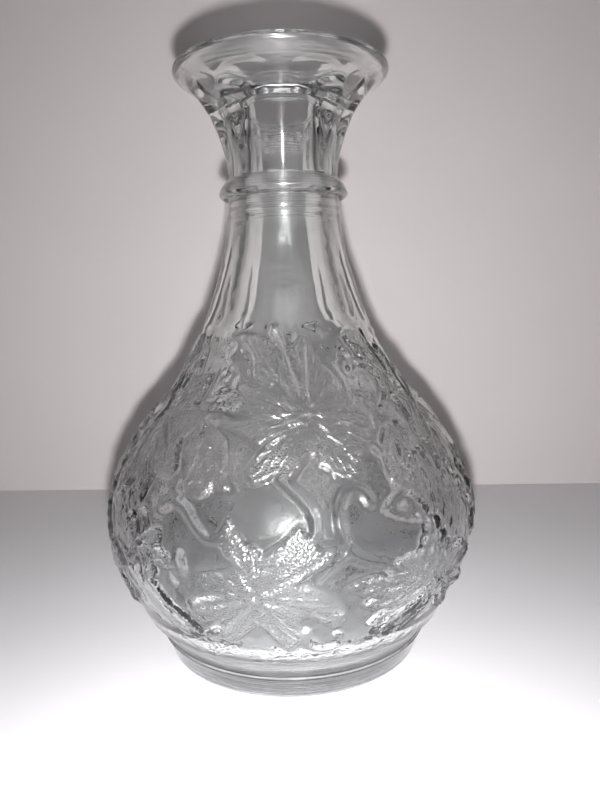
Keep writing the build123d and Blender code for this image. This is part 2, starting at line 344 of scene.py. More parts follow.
class Relief:
    """Height, from 0 to 1 of the relief, and stipple mask at every point of the bowl."""

    def __init__(self, chart, azimuths, levels):
        self.chart = chart
        self.azimuths = azimuths
        self.levels = levels
        self.height = np.zeros(azimuths.shape)
        self.grain = np.zeros(azimuths.shape)
        self.vein = np.zeros(azimuths.shape)
        self.moat = np.zeros(azimuths.shape)

    def local(self, heart, reach):
        """Indices and places of the points within reach of a heart."""
        x, y = self.chart.place(heart, self.azimuths, self.levels)
        near = np.nonzero((np.abs(x) < reach) & (np.abs(y) < reach))
        return near, x[near], y[near]

    def flat(self, heart, places):
        return [tuple(float(v) for v in self.chart.place(heart, a, z)) for a, z in places]

    def lay(self, near, height, grain, depth, vein=0.0):
        """Lay a shape on top: the higher surface wins and brings its own stipple and veins.

        depth is the distance inside the shape's edge. A moat is sunk round it.
        """
        self.moat[near] = np.maximum(self.moat[near], MOAT * np.exp(-((depth + 1.25) / 0.85) ** 2))
        wins = height > self.height[near] + 1e-4
        self.grain[near] = np.where(wins, grain, self.grain[near])
        self.vein[near] = np.where(wins, vein, self.vein[near])
        self.height[near] = np.maximum(self.height[near], height)

    def leaf(self, heart, tips, outline=None, body=0.42, gap=110.0, lobe=0.16):
        """Lobed leaf with a beaded rim, midribs as sunk lines between raised sides, and side veins.

        tips are the ends of its midribs. Without an outline, one is drawn about the tips; a larger gap
        gives shallower notches between them.
        """
        flat = self.flat(heart, tips)
        edge = self.flat(heart, outline) if outline else lobed_outline(flat, lobe, gap)
        reach = max(math.hypot(*place) for place in flat + edge) + 3.0
        near, x, y = self.local(heart, reach)
        depth = inside_distance(x, y, edge)
        rise = smoothstep(-0.45, 0.55, depth)
        height = body * rise + RIM * np.exp(-((depth - 0.85) / 0.6) ** 2)
        height += CUSHION * smoothstep(0.8, 5.0, depth)
        closest = np.full(x.shape, 1e9)
        along = np.zeros(x.shape)
        for tip in flat:
            rib, share = segment_distance(x, y, (0.0, 0.0), (tip[0] * 0.94, tip[1] * 0.94))
            width = 1.35 - 0.6 * share
            height -= RIB_GROOVE * rise * np.exp(-(rib / (0.6 * width)) ** 4)
            height += RIB_SIDE * rise * np.exp(-((rib - 1.3 * width) / 0.55) ** 2)
            nearer = rib < closest
            closest = np.where(nearer, rib, closest)
            along = np.where(nearer, share * math.hypot(*tip), along)
        mask = smoothstep(0.0, 0.8, depth)
        height = np.clip(height, 0.0, 1.0) * (depth > -0.5)
        self.lay(near, height, mask, depth, closest - 0.22 * along)

    def vine(self, heart, places, width=1.9, height=0.85, groove=0.25):
        """Round stem with a sunk line along its back."""
        route = [tuple(p) for p in smooth_line(self.flat(heart, places), 1.2)]
        reach = max(math.hypot(*p) for p in route) + 2 * width
        near, x, y = self.local(heart, reach)
        distance, share = route_distance(x, y, route)
        taper = width * (1.0 - 0.35 * share)
        bulge = np.sqrt(np.clip(1.0 - (distance / taper) ** 2, 0.0, 1.0))
        shape = height * bulge - groove * np.exp(-(distance / 0.5) ** 2) * (bulge > 0)
        self.lay(near, np.clip(shape, 0.0, 1.0), np.zeros(x.shape), taper - distance)

    def bud(self, heart, wide, tall, turn=0.0, height=0.8, ring=0.35):
        """Oval bud with a sunk ring."""
        near, x, y = self.local(heart, 1.6 * max(wide, tall))
        c, s = math.cos(math.radians(turn)), math.sin(math.radians(turn))
        across, up = x * c + y * s, y * c - x * s
        far = np.hypot(across / wide, up / tall)
        shape = height * np.sqrt(np.clip(1.0 - far ** 2, 0.0, 1.0))
        shape -= ring * np.exp(-((far - 0.68) / 0.10) ** 2)
        depth = (1.0 - far) * min(wide, tall)
        self.lay(near, np.clip(shape, 0.0, 1.0) * (far < 1.0), np.zeros(x.shape), depth)

    def berries(self, heart, rows, size=2.7, spacing=4.9, seed=3):
        """Bunch of round berries in rows that hang from the heart."""
        rng = np.random.default_rng(seed)
        reach = spacing * (len(rows) + 1)
        near, x, y = self.local(heart, reach)
        shape = np.zeros(x.shape)
        depth = np.full(x.shape, -9.0)
        for row, count in enumerate(rows):
            for index in range(count):
                cx = (index - (count - 1) / 2) * spacing + rng.uniform(-0.5, 0.5)
                cy = -row * spacing * 0.86 + rng.uniform(-0.4, 0.4)
                far = np.hypot(x - cx, y - cy) / (size * rng.uniform(0.88, 1.08))
                depth = np.maximum(depth, (1.0 - far) * size)
                shape = np.maximum(shape, 0.85 * np.sqrt(np.clip(1.0 - far ** 2, 0.0, 1.0)))
        self.lay(near, shape, 0.4 * (shape > 0.05), depth)

    def finished(self):
        """Height with the moats sunk into the plain glass between the shapes."""
        return np.where(self.height > 0.03, self.height, -self.moat)


def lobed_outline(tips, lobe, gap):
    """Closed outline of a leaf: each tip stands on a lobe with saw teeth, with a notch between lobes."""
    outline = []
    ring = sorted(tips, key=lambda p: math.atan2(p[1], p[0]))
    for before, tip, after in zip(ring[-1:] + ring[:-1], ring, ring[1:] + ring[:1]):
        outline += toothed_edge(notch_point(before, tip, gap), tip, lobe)
        outline += toothed_edge(tip, notch_point(tip, after, gap), lobe)
    return outline


def notch_point(one, other, gap):
    """Point between two tips where their lobes part. The wider apart the tips, the deeper it is."""
    a1, a2 = math.atan2(one[1], one[0]), math.atan2(other[1], other[0])
    turn = (a2 - a1) % (2 * math.pi)
    share = min(0.9, max(0.34, 1.0 - math.degrees(turn) / gap))
    length = share * min(math.hypot(*one), math.hypot(*other))
    return (length * math.cos(a1 + turn / 2), length * math.sin(a1 + turn / 2))


TOOTH = 0.4                 # height of a saw tooth in millimetres
TOOTH_PITCH = 3.6           # millimetres from tooth to tooth


def toothed_edge(start, end, bulge):
    """Edge that swells to the right of its run and carries teeth, without its last point."""
    dx, dy = end[0] - start[0], end[1] - start[1]
    length = max(math.hypot(dx, dy), 1e-6)
    nx, ny = dy / length, -dx / length
    steps = 2 * max(1, int(length / TOOTH_PITCH))
    points = []
    for i in range(steps):
        t = i / steps
        tooth = 0.0 if i == 0 else TOOTH if i % 2 else -TOOTH
        out = bulge * length * math.sin(math.pi * t) + tooth
        points.append((start[0] + dx * t + nx * out, start[1] + dy * t + ny * out))
    return points


# outlines and ends of midribs, as degrees round the vessel and level
FRONT_LEAF = [
    (6.2, 88.7), (8.3, 85.3), (11.4, 84.0), (12.7, 81.5), (17.0, 80.5), (21.9, 81.3), (21.4, 85.1),
    (18.6, 88.7), (22.8, 86.9), (29.3, 90.8), (29.1, 94.7), (30.2, 97.0), (24.0, 99.0), (17.9, 98.5),
    (24.1, 102.8), (25.2, 108.4), (22.5, 113.0), (16.3, 116.0), (12.2, 122.9), (8.9, 123.9),
    (3.8, 120.7), (-0.6, 120.8), (-5.2, 128.2), (-9.6, 128.5), (-10.3, 122.9), (-18.0, 125.2),
    (-24.0, 125.9), (-34.9, 124.5), (-25.4, 122.2), (-17.8, 117.0), (-16.5, 111.9), (-9.1, 108.8),
    (-14.0, 107.5), (-22.0, 109.6), (-22.9, 108.0), (-17.3, 104.4), (-11.5, 102.1), (-18.8, 101.5),
    (-12.3, 98.7), (-19.6, 99.1), (-29.5, 99.7), (-38.9, 98.2), (-28.9, 97.3), (-19.4, 94.6),
    (-10.9, 91.2), (-7.7, 91.8), (-10.9, 87.1), (-13.5, 83.5), (-11.0, 80.3), (-6.9, 81.4),
    (-3.8, 83.6), (-3.2, 81.4), (1.0, 82.4), (4.8, 86.9)]
FRONT_RIBS = [
    (20.7, 82.9), (28.8, 92.9), (23.1, 97.6), (22.5, 110.0), (9.1, 122.0), (-7.1, 127.2), (-23.5, 124.2),
    (-21.5, 108.4), (-32.5, 98.5), (-12.3, 83.8), (-1.2, 82.4)]
LOW_LEAF = [
    (-16.5, 71.7), (-14.2, 67.6), (-12.1, 63.8), (-9.0, 61.9), (-7.3, 58.9), (-5.1, 62.3),
    (-2.1, 64.0), (2.0, 69.2), (3.4, 65.9), (5.8, 64.2), (7.2, 60.8), (11.3, 61.3), (9.1, 57.6),
    (4.1, 54.0), (0.6, 51.1), (6.0, 49.3), (10.1, 45.6), (13.3, 39.0), (11.8, 33.5), (7.2, 36.9),
    (2.7, 40.5), (1.4, 36.7), (2.5, 29.6), (-1.5, 24.6), (-4.7, 29.0), (-7.6, 35.1), (-10.1, 36.6),
    (-14.1, 31.8), (-18.5, 27.3), (-21.1, 29.5), (-24.5, 26.7), (-26.6, 28.9), (-19.7, 36.0),
    (-22.2, 38.7), (-27.2, 38.2), (-27.6, 42.8), (-21.7, 45.6), (-17.1, 47.2), (-22.5, 48.4),
    (-24.5, 52.1), (-20.0, 53.5), (-16.2, 54.6), (-14.1, 56.7), (-17.8, 60.7), (-19.5, 64.7),
    (-18.0, 67.9)]
LOW_RIBS = [
    (-16.5, 69.7), (1.7, 67.7), (9.7, 60.3), (11.4, 38.6), (-1.4, 27.5), (-23.6, 29.8), (-26.7, 40.7),
    (-23.4, 51.0)]
HANGING_LEAF = [
    (35.4, 94.0), (31.4, 90.3), (30.1, 85.2), (29.5, 80.6), (30.4, 76.7), (34.1, 75.7), (37.3, 72.6),
    (40.3, 67.6), (43.9, 65.6), (47.1, 69.0), (49.4, 74.8), (48.7, 79.5), (46.8, 86.2), (41.2, 84.7),
    (42.6, 88.8), (46.1, 92.7), (43.3, 95.0)]
HANGING_RIBS = [(31.0, 77.1), (36.8, 73.4), (42.8, 66.9), (47.8, 77.1)]
LEFT_LEAF = [
    (-37.3, 95.9), (-31.3, 96.9), (-27.7, 95.4), (-22.3, 92.2), (-20.0, 87.3), (-19.3, 81.8), (-16.8, 78.1),
    (-20.4, 78.4), (-22.3, 81.1), (-23.2, 77.1), (-25.9, 75.1), (-29.4, 75.9), (-32.3, 80.1), (-32.7, 84.6),
    (-37.3, 88.8), (-38.8, 92.8)]
LEFT_RIBS = [(-28.9, 77.5), (-25.2, 77.3), (-21.3, 80.5), (-18.3, 79.6)]
SIDE_LEAF = [
    (35.4, 123.3), (39.7, 119.5), (41.5, 115.2), (47.4, 113.2), (52.0, 109.0), (50.5, 103.5), (52.0, 98.0),
    (50.5, 90.0), (54.0, 86.0), (53.0, 78.0), (57.0, 80.0), (60.0, 72.0), (65.0, 78.0), (72.0, 70.0),
    (74.0, 80.0), (84.0, 80.0), (80.0, 90.0), (88.0, 98.0), (78.0, 102.0), (80.0, 112.0), (70.0, 110.0),
    (66.0, 120.0), (58.0, 117.0), (50.5, 124.9), (37.9, 124.6)]
SIDE_RIBS = [
    (40.0, 121.5), (51.0, 122.0), (66.0, 117.0), (78.0, 109.0), (85.0, 98.0), (80.0, 84.0), (71.0, 74.0),
    (60.0, 76.0), (54.0, 84.0)]
FINGER_TIPS = [
    (14.6, 48.5), (18.2, 41.5), (20.4, 33.0), (22.4, 27.9), (28.5, 25.5), (38.0, 30.5), (24.0, 53.5)]


def draw_relief(relief):
    """All shapes of one third of the mould, lowest layer first. Places are degrees and level."""
    # leaves of the sides
    relief.leaf((62, 99), SIDE_RIBS, SIDE_LEAF)
    relief.leaf((44, 43), FINGER_TIPS + [(56, 26), (66, 34), (64, 47)], gap=62.0, lobe=0.10)
    relief.leaf((76, 58), [(67, 66), (74, 70), (83, 64), (87, 54), (80, 47), (68, 50)])
    relief.leaf((41, 95), HANGING_RIBS, HANGING_LEAF, body=0.36)
    relief.leaf((-31, 95.5), LEFT_RIBS, LEFT_LEAF, body=0.36)
    # stems and tendrils
    relief.vine((2, 74), [(-2.5, 82), (1.5, 77.8), (4.4, 74.4), (5.8, 70.5), (5.0, 63.5)])
    relief.vine((14, 68), [(21.5, 73.5), (20.5, 76), (18.7, 77.6), (15.7, 77.3), (13.4, 74.2), (12.5, 69.4),
                           (13.2, 64), (14.8, 59.5), (18.8, 56.4), (24.0, 54.4)])
    relief.vine((10, 58), [(14.7, 59.3), (10.1, 56.6), (5.5, 52)])
    relief.vine((-28, 69), [(-38, 71.5), (-34.5, 73.3), (-31.6, 73), (-27.8, 69.8), (-24.3, 65.6),
                            (-21.4, 63.8), (-16, 65)])
    relief.vine((8, 27), [(2.8, 33.2), (3.4, 28.6), (6.1, 25.6), (10.4, 25.2), (13.6, 27.8), (11.6, 30.6)],
                width=1.4)
    relief.vine((-34, 36), [(-43, 47), (-39.1, 42.2), (-35.7, 38), (-31.8, 34.3), (-28.6, 29.6)],
                height=0.7)
    relief.vine((33, 71), [(25.8, 70.8), (29.6, 73.9), (35, 74.6), (38.6, 71.2), (40.5, 66.6)], width=1.3)
    relief.vine((31, 68), [(25.8, 70.8), (28.8, 68.6), (32.6, 67.2), (37.5, 65.2)], width=1.1)
    relief.vine((44, 108), [(32, 113), (36.5, 114.6), (41, 114.2), (46.8, 112), (49.6, 107.9), (47.2, 103),
                            (40, 99.6)], width=1.2)
    relief.bud((32.6, 70.5), 2.7, 1.9)
    relief.bud((36.4, 66.2), 1.5, 1.1)
    relief.bud((-34.2, 78.3), 3.0, 4.6, turn=10)
    relief.bud((-30.6, 55.1), 2.6, 4.6, turn=8)
    relief.bud((28.4, 93.4), 1.5, 2.3, turn=40)
    relief.bud((28.9, 87.9), 1.7, 2.6, turn=35)
    relief.berries((41.5, 62.5), [2, 3, 4, 3])
    # front leaves
    relief.leaf((6.3, 98.5), FRONT_RIBS, FRONT_LEAF)
    relief.leaf((-9.4, 47.2), LOW_RIBS, LOW_LEAF)


# ---------------------------------------------------------------- mesh of the round blank

def section_rows(bands):
    """Rows of the half section, from the underside out, up, over the lip and down to the inner floor."""
    rows = []
    for band in bands:
        line = band.line
        tangent = np.gradient(line, axis=0)
        tangent /= np.linalg.norm(tangent, axis=1)[:, None]
        skip = 1 if rows and np.allclose(line[0], rows[-1]["place"], atol=1e-3) else 0
        for i in range(skip, len(line)):
            rows.append({
                "place": line[i], "columns": band.columns, "hollow": band.hollow[i], "lines": band.lines,
                "normal": (tangent[i][1], -tangent[i][0]), "inner": band.inner,
                "zone": 1.0 if band.name == "bowl" else 0.0,
            })
    return rows


def blank_mesh(sizes):
    """Round, closed vessel with attributes that the wall tree turns into the finished shape."""
    bands = section_bands(sizes.columns, sizes.row_height)
    rows = section_rows(bands)
    verts, faces = [], []
    data = {"hollow": [], "outward": [], "inner": [], "zone": [], "lines": []}
    previous = None
    for row in rows:
        first = len(verts)
        columns = row["columns"]
        radius, level = row["place"]
        for k in range(columns):
            angle = 2 * math.pi * k / columns
            verts.append((radius * math.sin(angle), -radius * math.cos(angle), level))
            across, up = row["normal"]
            data["outward"].append((across * math.sin(angle), -across * math.cos(angle), up))
        for key in ("hollow", "inner", "zone", "lines"):
            data[key] += [row[key]] * columns
        if previous is not None:
            faces += bridge(previous, (first, columns))
        previous = (first, columns)
    faces += cap(verts, data, (0, rows[0]["columns"]), rows[0], False)
    faces += cap(verts, data, previous, rows[-1], True)
    mesh = bpy.data.meshes.new("glass_blank")
    mesh.from_pydata([tuple(c * MM for c in v) for v in verts], [], faces)
    store(mesh, "hollow", "FLOAT", data["hollow"])
    store(mesh, "inner", "FLOAT", data["inner"])
    store(mesh, "lines", "FLOAT", data["lines"])
    store(mesh, "outward", "FLOAT_VECTOR", data["outward"])
    bowl = next(band for band in bands if band.name == "bowl")
    store_relief(mesh, BowlChart(bowl.line), np.array(verts), np.array(data["zone"]) > 0.5)
    return mesh


def store_relief(mesh, chart, places, zone):
    """Height, stipple and side veins of the relief as point attributes. zone says which points it has."""
    azimuths = np.degrees(np.arctan2(places[:, 0], -places[:, 1]))
    relief = Relief(chart, azimuths[zone], places[zone, 2])
    draw_relief(relief)
    ends = smoothstep(FOOT_TOP + 1.0, FOOT_TOP + 6.0, places[zone, 2])
    for name, values in (("relief", relief.finished() * ends), ("grain", relief.grain * ends),
                         ("vein", relief.vein)):
        everywhere = np.zeros(len(places))
        everywhere[zone] = values
        store(mesh, name, "FLOAT", everywhere)


def bridge(lower, upper):
    """Faces between two rows. The rows may differ in columns by a factor of two."""
    first, n = lower
    second, m = upper
    faces = []
    if n == m:
        for k in range(n):
            j = (k + 1) % n
            faces.append((first + k, first + j, second + j, second + k))
    elif m == 2 * n:
        for k in range(n):
            j = (k + 1) % n
            a, b, c = second + 2 * k, second + 2 * k + 1, second + (2 * k + 2) % m
            faces += [(first + k, b, a), (first + k, first + j, b), (first + j, c, b)]
    elif n == 2 * m:
        for k in range(m):
            j = (k + 1) % m
            a, b, c = first + 2 * k, first + 2 * k + 1, first + (2 * k + 2) % n
            faces += [(a, b, second + k), (b, second + j, second + k), (b, c, second + j)]
    else:
        raise ValueError(f"rows of {n} and {m} columns can't be joined")
    return faces


def cap(verts, data, ring, row, upwards):
    """Fan that closes the vessel's pole at the level of a row."""
    first, n = ring
    pole = len(verts)
    verts.append((0.0, 0.0, row["place"][1]))
    data["outward"].append((0.0, 0.0, 1.0 if upwards else -1.0))
    for key in ("hollow", "inner", "zone", "lines"):
        data[key].append(row[key])
    if upwards:
        return [(first + k, first + (k + 1) % n, pole) for k in range(n)]
    return [(first + (k + 1) % n, first + k, pole) for k in range(n)]


def store(mesh, name, kind, values):
    """Point attribute on a mesh."""
    layer = mesh.attributes.new(name, kind, "POINT")
    key = "vector" if kind == "FLOAT_VECTOR" else "value"
    layer.data.foreach_set(key, np.array(values, dtype=np.float32).ravel())


# ---------------------------------------------------------------- node helpers

class Tree:
    """Short way to add and link nodes."""

    def __init__(self, tree):
        self.tree = tree

    def add(self, kind, inputs=None, **settings):
        node = self.tree.nodes.new(kind)
        for key, value in settings.items():
            setattr(node, key, value)
        for key, value in (inputs or {}).items():
            if isinstance(value, bpy.types.NodeSocket):
                self.tree.links.new(value, node.inputs[key])
            else:
                node.inputs[key].default_value = value
        return node

    def math(self, operation, *values, clamp=False):
        node = self.add("ShaderNodeMath", dict(enumerate(values)), operation=operation, use_clamp=clamp)
        return node.outputs[0]

    def vector(self, operation, *values):
        node = self.add("ShaderNodeVectorMath", dict(enumerate(values)), operation=operation)
        return node.outputs[0]

    def scaled(self, vector, factor):
        node = self.add("ShaderNodeVectorMath", {0: vector, "Scale": factor}, operation="SCALE")
        return node.outputs[0]


CREST = 0.2                 # share of half a panel that rounds a ridge's crest
LEDGE = 0.8                 # millimetres over which a flute ends under its arch
GRAIN_LEVEL = 0.62          # noise level that leaves the glass where it is
SWIRL_SCALE = 42.0          # ripples of the inner wall to the metre


def wall_tree():
    """Geometry tree that flutes the neck and mouth, raises the relief and ripples the inner wall."""
    tree = bpy.data.node_groups.new("Moulded Wall", "GeometryNodeTree")
    face = tree.interface
    face.new_socket("Geometry", in_out="INPUT", socket_type="NodeSocketGeometry")
    for name in ("Flute Depth", "Flute Top", "Arch Drop", "Relief Height", "Grain Height", "Grain Size",
                 "Inner Ripple"):
        face.new_socket(name, in_out="INPUT", socket_type="NodeSocketFloat")
    face.new_socket("Panels", in_out="INPUT", socket_type="NodeSocketInt")
    face.new_socket("Seed", in_out="INPUT", socket_type="NodeSocketInt")
    face.new_socket("Material", in_out="INPUT", socket_type="NodeSocketMaterial")
    face.new_socket("Geometry", in_out="OUTPUT", socket_type="NodeSocketGeometry")
    t = Tree(tree)
    given = t.add("NodeGroupInput").outputs
    place = t.add("GeometryNodeInputPosition").outputs[0]
    split = t.add("ShaderNodeSeparateXYZ", {0: place}).outputs

    def named(name, kind="FLOAT"):
        return t.add("GeometryNodeInputNamedAttribute", {"Name": name}, data_type=kind).outputs[0]

    # place across one panel, from -1 at a ridge through 0 at its middle to 1 at the next ridge
    angle = t.math("ARCTAN2", split["X"], t.math("MULTIPLY", split["Y"], -1.0))
    turn = t.math("MULTIPLY", t.math("DIVIDE", angle, 2 * math.pi), given["Panels"])
    across = t.math("SUBTRACT", t.math("MULTIPLY", t.math("FRACT", turn), 2.0), 1.0)
    square = t.math("MULTIPLY", across, across)
    # a ridge has a rounded crest
    beside = t.math("SUBTRACT", 1.0, t.math("ABSOLUTE", across))
    beside = t.math("SQRT", t.math("ADD", t.math("MULTIPLY", beside, beside), CREST * CREST))
    beside = t.math("SUBTRACT", beside, CREST)
    scoop = t.math("MULTIPLY", beside, t.math("SUBTRACT", 2.0, beside))
    # flutes and panels
    arch = t.math("SUBTRACT", given["Flute Top"], t.math("MULTIPLY", given["Arch Drop"], square))
    below = t.math("DIVIDE", t.math("SUBTRACT", arch, split["Z"]), LEDGE * MM, clamp=True)
    soft = t.math("SMOOTH_MIN", below, 1.0, 0.2)
    dip = t.math("MULTIPLY", scoop, given["Flute Depth"])
    dip = t.math("MULTIPLY", t.math("MULTIPLY", dip, named("hollow")), soft)
    flat_place = t.add("ShaderNodeCombineXYZ", {0: split["X"], 1: split["Y"]}).outputs[0]
    flute = t.scaled(t.vector("NORMALIZE", flat_place), t.math("MULTIPLY", dip, -1.0))
    # relief and stipple
    seed = t.math("MULTIPLY", given["Seed"], 0.37)
    frequency = t.math("DIVIDE", 1.0, given["Grain Size"])
    grain = t.add("ShaderNodeTexNoise", {"Vector": place, "W": seed, "Scale": frequency, "Detail": 1.0},
                  noise_dimensions="4D").outputs[0]
    grain = t.math("SUBTRACT", grain, GRAIN_LEVEL)
    grain = t.math("MULTIPLY", grain, t.math("MULTIPLY", given["Grain Height"], 4.0))
    lift = t.math("MULTIPLY", named("relief"), given["Relief Height"])
    lift = t.math("ADD", lift, t.math("MULTIPLY", grain, named("grain")))
    # ripple of the inner wall
    swirl = t.add("ShaderNodeTexNoise", {"Vector": place, "W": seed, "Scale": SWIRL_SCALE, "Detail": 1.0},
                  noise_dimensions="4D").outputs[0]
    swirl = t.math("SUBTRACT", swirl, 0.5)
    swirl = t.math("MULTIPLY", swirl, t.math("MULTIPLY", given["Inner Ripple"], 2.0))
    lift = t.math("ADD", lift, t.math("MULTIPLY", swirl, named("inner")))
    raised = t.scaled(named("outward", "FLOAT_VECTOR"), lift)
    moved = t.add("GeometryNodeSetPosition", {
        "Geometry": given["Geometry"], "Offset": t.vector("ADD", flute, raised)})
    smooth = t.add("GeometryNodeSetShadeSmooth", {"Geometry": moved.outputs[0], "Shade Smooth": True})
    real = t.add("GeometryNodeRealizeInstances", {"Geometry": smooth.outputs[0]})
    made = t.add("GeometryNodeSetMaterial", {"Geometry": real.outputs[0], "Material": given["Material"]})
    t.add("NodeGroupOutput", {"Geometry": made.outputs[0]})
    return tree


def converted(obj, tree, values):
    """Run a geometry tree on an object with the named values and keep the result as its plain mesh."""
    modifier = obj.modifiers.new(tree.name, "NODES")
    modifier.node_group = tree
    for item in tree.interface.items_tree:
        if item.in_out == "INPUT" and item.name in values:
            modifier[item.identifier] = values[item.name]
    graph = bpy.context.evaluated_depsgraph_get()
    mesh = bpy.data.meshes.new_from_object(obj.evaluated_get(graph), depsgraph=graph)
    obj.modifiers.clear()
    old = obj.data
    obj.data = mesh
    bpy.data.meshes.remove(old)
    mesh.name = obj.name


# ---------------------------------------------------------------- materials

VEIN_SPACING = 2.1          # millimetres between side veins
LINE_SPACING = 0.9          # millimetres between turned lines
SCRATCH_SPACING = 0.37      # millimetres between the finest turned lines
SCRATCH_SHARE = 0.4         # height of the finest turned lines beside the others
HAMMER_TOP = 130.0          # level in millimetres where the small dents have faded out
HAMMER_FADE = 12.0          # millimetres over which they fade
STIPPLE_SCALE = 1200.0      # scales of the patterns, to the metre
DENT_SCALE = 240.0
SWELL_SCALE = 75.0
DRIFT_SCALE = 30.0


def surface_group():
    """Height of the glass surface's fine detail in metres, and masks of the stippled and turned zones."""
    tree = bpy.data.node_groups.new("Moulded Detail", "ShaderNodeTree")
    face = tree.interface
    for name in ("Stipple", "Veins", "Lines", "Waves", "Hammer"):
        face.new_socket(name, in_out="INPUT", socket_type="NodeSocketFloat")
    face.new_socket("Height", in_out="OUTPUT", socket_type="NodeSocketFloat")
    face.new_socket("Stippled", in_out="OUTPUT", socket_type="NodeSocketFloat")
    face.new_socket("Turned", in_out="OUTPUT", socket_type="NodeSocketFloat")
    t = Tree(tree)
    given = t.add("NodeGroupInput").outputs
    place = t.add("ShaderNodeTexCoord").outputs["Object"]
    level = t.add("ShaderNodeSeparateXYZ", {0: place}).outputs["Z"]
    grain = t.add("ShaderNodeAttribute", attribute_name="grain").outputs["Fac"]
    vein = t.add("ShaderNodeAttribute", attribute_name="vein").outputs["Fac"]
    lines = t.add("ShaderNodeAttribute", attribute_name="lines").outputs["Fac"]
    cells = t.add("ShaderNodeTexVoronoi", {"Vector": place, "Scale": STIPPLE_SCALE}).outputs[0]
    stipple = t.math("MULTIPLY", t.math("MULTIPLY", cells, grain), given["Stipple"])
    wave = t.math("SINE", t.math("MULTIPLY", vein, 2 * math.pi / VEIN_SPACING))
    ridge = t.math("POWER", t.math("MULTIPLY", t.math("ADD", wave, 1.0), 0.5), 3.0)
    veins = t.math("MULTIPLY", t.math("MULTIPLY", ridge, grain), given["Veins"])
    turn = t.math("MULTIPLY", level, 2 * math.pi / (LINE_SPACING * MM))
    drift = t.add("ShaderNodeTexNoise", {"Vector": place, "Scale": DRIFT_SCALE}).outputs[0]
    turned = t.math("SINE", t.math("ADD", turn, t.math("MULTIPLY", drift, 5.0)))
    scratch = t.math("SINE", t.math("MULTIPLY", level, 2 * math.pi / (SCRATCH_SPACING * MM)))
    turned = t.math("ADD", turned, t.math("MULTIPLY", scratch, SCRATCH_SHARE))
    turned = t.math("MULTIPLY", t.math("MULTIPLY", turned, lines), given["Lines"])
    swell = t.add("ShaderNodeTexNoise", {"Vector": place, "Scale": SWELL_SCALE, "Detail": 2.0}).outputs[0]
    waves = t.math("MULTIPLY", swell, given["Waves"])
    dents = t.add("ShaderNodeTexNoise", {"Vector": place, "Scale": DENT_SCALE, "Detail": 2.0}).outputs[0]
    bowl = t.math("DIVIDE", t.math("SUBTRACT", HAMMER_TOP * MM, level), HAMMER_FADE * MM, clamp=True)
    dents = t.math("MULTIPLY", t.math("MULTIPLY", dents, bowl), given["Hammer"])
    waves = t.math("ADD", waves, dents)
    height = t.math("ADD", t.math("ADD", stipple, veins), t.math("ADD", turned, waves))
    t.add("NodeGroupOutput", {"Height": height, "Stippled": grain, "Turned": lines})
    return tree


PLAIN_ROUGHNESS = 0.01
STIPPLED_ROUGHNESS = 0.02   # more on stippled glass
TURNED_ROUGHNESS = 0.16     # more on turned glass
PLAIN_GLOSS = 0.15          # soft gloss on plain glass
TURNED_GLOSS = 1.5          # soft gloss on turned glass beside stippled glass
EDGE_SHADE = 0.05           # lamp light that passes glass seen edge on beside glass seen face on


def glass_material(look):
    """Clear moulded glass: smooth where plain, finely stippled on the leaves.

    To lamps it is tinted and see-through, and nearly dark at its edges, so its shadow has an outline.
    """
    material = bpy.data.materials.new("clear_moulded_glass")
    material.use_nodes = True
    nodes = material.node_tree.nodes
    nodes.clear()
    t = Tree(material.node_tree)
    detail = t.add("ShaderNodeGroup", node_tree=surface_group())
    for name, value in (("Stipple", look.stipple), ("Veins", look.veins), ("Lines", look.turned_lines),
                        ("Waves", look.waves), ("Hammer", look.hammer)):
        detail.inputs[name].default_value = value
    bump = t.add("ShaderNodeBump", {
        "Strength": 1.0, "Distance": 1.0, "Height": detail.outputs["Height"]}).outputs[0]
    rough = t.math("ADD", t.math("MULTIPLY", detail.outputs["Stippled"], STIPPLED_ROUGHNESS),
                   t.math("MULTIPLY", detail.outputs["Turned"], TURNED_ROUGHNESS))
    rough = t.math("ADD", rough, PLAIN_ROUGHNESS)
    gloss = t.math("ADD", t.math("MULTIPLY", detail.outputs["Stippled"], look.sheen),
                   t.math("MULTIPLY", detail.outputs["Turned"], TURNED_GLOSS * look.sheen))
    gloss = t.math("ADD", gloss, PLAIN_GLOSS, clamp=True)
    glass = t.add("ShaderNodeBsdfPrincipled", {
        "Base Color": (*look.tint, 1.0), "Metallic": 0.0, "Roughness": rough, "IOR": look.index,
        "Transmission Weight": 1.0, "Normal": bump,
        "Coat Weight": gloss, "Coat Roughness": 0.30, "Coat Normal": bump})
    facing = t.add("ShaderNodeLayerWeight", {"Blend": 0.5}).outputs["Facing"]
    dark = tuple(c * look.lamp_share * EDGE_SHADE for c in look.tint)
    light = tuple(c * look.lamp_share for c in look.tint)
    share = t.add("ShaderNodeMix", {"Factor": facing}, data_type="RGBA")
    share.inputs["A"].default_value = (*light, 1.0)
    share.inputs["B"].default_value = (*dark, 1.0)
    clear = t.add("ShaderNodeBsdfTransparent", {"Color": share.outputs["Result"]})
    path = t.add("ShaderNodeLightPath").outputs["Is Shadow Ray"]
    mix = t.add("ShaderNodeMixShader", {0: path, 1: glass.outputs[0], 2: clear.outputs[0]})
    t.add("ShaderNodeOutputMaterial", {"Surface": mix.outputs[0]})
    return material


MOTTLE_SCALE = 14.0         # patches to the metre


